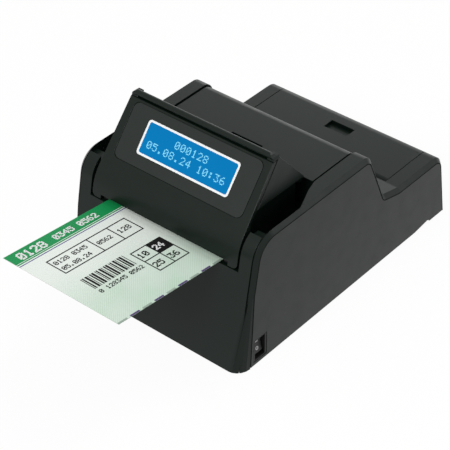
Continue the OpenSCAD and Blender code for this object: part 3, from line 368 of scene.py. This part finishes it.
def printed(name, ink, place, plates, node, layer=0):
    """One piece of thin plates on a flat. A plate is (x, y, width, height) in mm, on the given layer."""
    points, faces = [], []
    for x, y, w, h in plates:
        first = len(points)
        points += [(x + i * w, y + j * h, (layer + k) * PRINT_T) for i, j, k in PLATE_CORNERS]
        faces += [[first + corner for corner in face] for face in PLATE_FACES]
    mesh = bpy.data.meshes.new(name)
    mesh.from_pydata(points, [], faces)
    mesh.transform(place)
    return stand(name, mesh, ink, body_of[node])


# Rows of the usual 5 by 7 dot figures, from the top, one bit a dot
FIGURES = {
    "0": "0E 11 13 15 19 11 0E", "1": "04 0C 04 04 04 04 0E", "2": "0E 11 01 02 04 08 1F",
    "3": "1F 02 04 02 01 11 0E", "4": "02 06 0A 12 1F 02 02", "5": "1F 10 1E 01 01 11 0E",
    "6": "06 08 10 1E 11 11 0E", "7": "1F 01 02 04 08 08 08", "8": "0E 11 11 0E 11 11 0E",
    "9": "0E 11 11 0F 01 02 0C", ".": "00 00 00 00 00 0C 0C", ":": "00 0C 0C 00 0C 0C 00",
    " ": "00 00 00 00 00 00 00",
}
COLUMNS, ROWS = 5, 7


def dots(text, x, y, pitch, dot, advance):
    """Plates of a row of dot figures about x, y: dots of dot mm every pitch mm, figures every advance mm."""
    start = x - (len(text) - 1) / 2 * advance
    for i, figure in enumerate(text):
        for row, bits in enumerate(FIGURES[figure].split()):
            for column in range(COLUMNS):
                if int(bits, 16) >> (COLUMNS - 1 - column) & 1:
                    yield (start + i * advance + (column - COLUMNS / 2 + 0.5) * pitch - dot / 2,
                           y + (ROWS / 2 - 0.5 - row) * pitch - dot / 2, dot, dot)


# Two rows of plain figures in the display window, each with its middle in mm
LCD_ROWS = (("000128", 0.8, 3.4), ("05.08.24 10:36", -0.3, -3.0))
LCD_PITCH, LCD_DOT, LCD_ADVANCE = 0.62, 0.54, 4.0
window = flat_of("lcd_glass", Vector((0, -1, 1)).normalized())
printed("lcd_figures", lit_dot, window, [
    plate for text, x, y in LCD_ROWS for plate in dots(text, x, y, LCD_PITCH, LCD_DOT, LCD_ADVANCE)
], "lcd_glass")

# The ticket's print reads along its length: X towards the slot and Y to its left edge
sheet = flat_of("ticket", Vector((0, 0, 1))) @ Matrix.Rotation(radians(90), 4, "Z")
ticket_low, ticket_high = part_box("ticket")
slope_cos = sheet.col[2].to_3d().normalized().z
# The ticket's box is longer than its face by the slope of its ends, so the print stops this far short of it
END_INSET = 0.02
HALF_W = (ticket_high[0] - ticket_low[0]) / 2 / MM
HALF_L = (ticket_high[1] - ticket_low[1]) / 2 / MM / slope_cos - END_INSET
RULE = 0.8
# Dots of the ticket's figures are this many times their pitch, so that they join to bold strokes
BOLD = 1.4


def outline(x, y, w, h):
    """Plates of a thin frame."""
    return [(x, y, w, RULE), (x, y + h - RULE, w, RULE),
            (x, y + RULE, RULE, h - 2 * RULE), (x + w - RULE, y + RULE, RULE, h - 2 * RULE)]


def figures(text, x, y, height):
    """Plates of small bold print, height mm tall, that starts at x."""
    pitch = height / ROWS
    advance = (COLUMNS + 1) * pitch
    return dots(text, x + (len(text) - 1) / 2 * advance, y, pitch, BOLD * pitch, advance)


# Green band with figures, which have a start and a height, a white stripe in it and a blue line beside it
BAND_W = 11
BAND_ROWS = (("0128", -44, 6), ("0345 0562", -18, 4.4))
STRIPE_RISE, STRIPE_W = 0.9, 0.35
LINE_DROP, LINE_W = 1.5, 0.6
band_low = HALF_W - BAND_W
printed("ticket_band", green_ink, sheet, [(-HALF_L, band_low, 2 * HALF_L, BAND_W)], "ticket")
printed("ticket_band_figures", white_ink, sheet, [
    *[plate for text, x, height in BAND_ROWS for plate in figures(text, x, band_low + BAND_W / 2, height)],
    (-HALF_L, band_low + STRIPE_RISE, 2 * HALF_L, STRIPE_W),
], "ticket", layer=1)
printed("ticket_line", blue_ink, sheet, [(-HALF_L, band_low - LINE_DROP, 2 * HALF_L, LINE_W)], "ticket")

# Long box of three cells. Its rules and its figures, with a height, are placed from its lower left corner
BOX_X, BOX_Y, BOX_W, BOX_H = -39, 8, 61, 15
BOX_RULES = (30, 46)
BOX_ROWS = (
    ("0128 0345", 3.2, 10.4, 3.2),
    ("05.08.24", 3.2, 4.2, 3.2),
    ("0562", 33.4, 7.5, 3.2),
    ("128", 49.8, 7.5, 3.8),
)

# Strip of bars with a row of figures below. The widths follow a plain count, so the bars hold no code
BARS, BAR_X, BAR_Y, BAR_H, BAR_W = 19, -38, -12, 11, 0.5
BAR_ROW, BAR_ROW_INDENT, BAR_ROW_DROP, BAR_ROW_H = "0 128345 0562", 1, 3.4, 3
bars = []
bar_x = BAR_X
for i in range(BARS):
    wide = BAR_W * (1 + i * 7 % 3)
    bars.append((bar_x, BAR_Y, wide, BAR_H))
    bar_x += wide + BAR_W * (1 + i * 5 % 2)

# Box of four cells, each with figures by its column and row, and the upper right one black
GRID_X, GRID_Y, CELL_W, CELL_H = -2, -25, 12, 11
CELL_INDENT, CELL_FIGURE_H = 3, 4.4
CELL_FIGURES = (("10", 0, 1), ("25", 0, 0), ("36", 1, 0))
BLACK_CELL_FIGURES = ("24", 1, 1)


def cell_figures(text, column, row):
    """Plates of the figures in a cell of the box of four."""
    return figures(text, GRID_X + column * CELL_W + CELL_INDENT, GRID_Y + (row + 0.5) * CELL_H, CELL_FIGURE_H)


printed("ticket_print", thermal_black, sheet, [
    *outline(BOX_X, BOX_Y, BOX_W, BOX_H),
    *[(BOX_X + x, BOX_Y + RULE, RULE, BOX_H - 2 * RULE) for x in BOX_RULES],
    *[plate for text, x, y, height in BOX_ROWS for plate in figures(text, BOX_X + x, BOX_Y + y, height)],
    *bars,
    *figures(BAR_ROW, BAR_X + BAR_ROW_INDENT, BAR_Y - BAR_ROW_DROP, BAR_ROW_H),
    *outline(GRID_X, GRID_Y, 2 * CELL_W, 2 * CELL_H),
    (GRID_X + CELL_W, GRID_Y + RULE, RULE, CELL_H - RULE),
    (GRID_X + RULE, GRID_Y + CELL_H, CELL_W - RULE, RULE),
    (GRID_X + CELL_W, GRID_Y + CELL_H, CELL_W - RULE, CELL_H - RULE),
    *[plate for cell in CELL_FIGURES for plate in cell_figures(*cell)],
], "ticket")
printed("ticket_cell_figures", white_ink, sheet, cell_figures(*BLACK_CELL_FIGURES), "ticket", layer=1)

# Alternating marks along the right edge
MARKS, MARK_L, MARK_STEP, MARK_W = 11, 7, 9.3, 1.2
marks = [(i * MARK_STEP - HALF_L, -HALF_W, MARK_L, MARK_W) for i in range(MARKS)]
printed("ticket_edge_marks_grey", grey_ink, sheet, marks[0::2], "ticket")
printed("ticket_edge_marks_purple", purple_ink, sheet, marks[1::2], "ticket")


# Marks on the rocker, in mm: a bar above its middle and a ring below

MARK_RISE = 2.2
BAR_MARK_L, BAR_MARK_W = 2.6, 0.9
# The ring stands this proud of the rocker's hollow face, as a moulded mark does
RING_T = 0.15
RING_R, RING_W, RING_SIDES = 1.2, 0.6, 32
# The ray that finds the rocker's face starts this far outside it
RAY_START = 5


def rocker_face(rise):
    """Frame on the rocker's outer face, rise mm above its middle: X along the body, Z out of the face."""
    mesh = nodes["switch_rocker"].data
    skin = BVHTree.FromPolygons([v.co for v in mesh.vertices], [face.vertices for face in mesh.polygons])
    low, high = (Vector(corner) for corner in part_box("switch_rocker"))
    middle = (low + high) / 2
    start = Vector((high.x + RAY_START * MM, middle.y, middle.z + rise * MM))
    spot, out, _, _ = skin.ray_cast(start, Vector((-1, 0, 0)))
    along = (Vector((0, 1, 0)) - out * out.y).normalized()
    return in_mm(spot, along, out.cross(along), out)


def ring(name, ink, place, node):
    """A flat raised ring."""
    work = bmesh.new()
    angles = [2 * pi * i / RING_SIDES for i in range(RING_SIDES)]
    loops = [[work.verts.new(place @ Vector((r * cos(a), r * sin(a), z))) for a in angles]
             for z in (0, RING_T) for r in (RING_R, RING_R - RING_W)]
    low_out, low_in, top_out, top_in = loops
    for a, b in ((low_out, top_out), (top_out, top_in), (top_in, low_in), (low_in, low_out)):
        for i in range(RING_SIDES):
            j = (i + 1) % RING_SIDES
            work.faces.new((a[i], a[j], b[j], b[i]))
    mesh = bpy.data.meshes.new(name)
    work.to_mesh(mesh)
    work.free()
    return stand(name, mesh, ink, body_of[node])


bar_mark = (-BAR_MARK_L / 2, -BAR_MARK_W / 2, BAR_MARK_L, BAR_MARK_W)
printed("rocker_on_mark", white_ink, rocker_face(MARK_RISE), [bar_mark], "switch_rocker")
ring("rocker_off_mark", white_ink, rocker_face(-MARK_RISE), "switch_rocker")


# Floor, light and camera

def seen_directly(tree):
    """1 for rays that show the background: from the camera, in reflections and through glass."""
    path = add(tree, "LightPath").outputs
    either = add(tree, "Math", {0: path["Is Camera Ray"], 1: path["Is Glossy Ray"]}, operation="MAXIMUM")
    any_ray = add(tree, "Math", {0: either.outputs[0], 1: path["Is Transmission Ray"]}, operation="MAXIMUM")
    return any_ray.outputs[0]


FLOOR_HALF = 4.0
# Share of the floor's white that is even. The rest is lit paper, which takes the object's shadow
GLOW_SHARE = 0.94
floor_mesh = bpy.data.meshes.new("floor")
floor_mesh.from_pydata([(x, y, 0) for x, y in ((-1, -1), (1, -1), (1, 1), (-1, 1))], [], [(0, 1, 2, 3)])
floor_mesh.transform(Matrix.Scale(FLOOR_HALF, 4))
floor = bpy.data.objects.new("floor", floor_mesh)
bpy.context.scene.collection.objects.link(floor)
paper, tree = blank("white_background_paper")
matt = add(tree, "BsdfDiffuse", {"Color": linear("#f6f6f6")})
glow = add(tree, "Emission", {"Color": linear("#ffffff"), "Strength": seen_directly(tree)})
white = add(tree, "MixShader", {"Fac": GLOW_SHARE, 1: matt.outputs[0], 2: glow.outputs[0]})
add(tree, "OutputMaterial", {"Surface": white.outputs[0]})
floor_mesh.materials.append(paper)

# The world is white where it is seen, and lights the object at half of that
WORLD_LIGHT, WORLD_SEEN = 0.5, 1.0
world = bpy.data.worlds.new("studio")
bpy.context.scene.world = world
world.use_nodes = True
tree = world.node_tree
tree.nodes.clear()
level = add(tree, "MapRange", {"Value": seen_directly(tree), 3: WORLD_LIGHT, 4: WORLD_SEEN})
sky = add(tree, "Background", {"Color": linear("#ffffff"), "Strength": level.outputs[0]})
add(tree, "OutputWorld", {"Surface": sky.outputs[0]})

# Square soft boxes that look at the printer's middle: place and side in metres, and power in watts
AIM = Vector((0, 0, 0.05))
SOFT_BOXES = {
    "key_box": ((0.1, 0.7, 1.3), 0.4, 5.0),
    "side_box": ((0.9, 0.9, 0.75), 0.5, 1.2),
    "rim_box": ((-0.7, 1.0, 0.35), 0.4, 0.6),
    "front_box": ((0.15, -1.25, 1.0), 0.5, 12.5),
}
for name, (place, size, power) in SOFT_BOXES.items():
    light = bpy.data.lights.new(name, "AREA")
    light.size = size
    light.energy = power
    box = bpy.data.objects.new(name, light)
    box.location = place
    box.rotation_euler = (AIM - Vector(place)).to_track_quat("-Z", "Y").to_euler()
    bpy.context.scene.collection.objects.link(box)

# The camera was solved from the photo's straight edges: place in metres, angles in degrees, lens in mm
CAMERA_PLACE = (0.50655, -0.64174, 0.65056)
CAMERA_DOWN, CAMERA_TURN = 37.906, 39.817
LENS, SENSOR = 140.04, 36
camera = bpy.data.cameras.new("camera")
camera.sensor_width = SENSOR
camera.lens = LENS
view = bpy.data.objects.new("camera", camera)
view.location = CAMERA_PLACE
view.rotation_euler = (radians(90 - CAMERA_DOWN), 0, radians(CAMERA_TURN))
bpy.context.scene.collection.objects.link(view)
bpy.context.scene.camera = view
bpy.context.scene.view_settings.view_transform = "Standard"
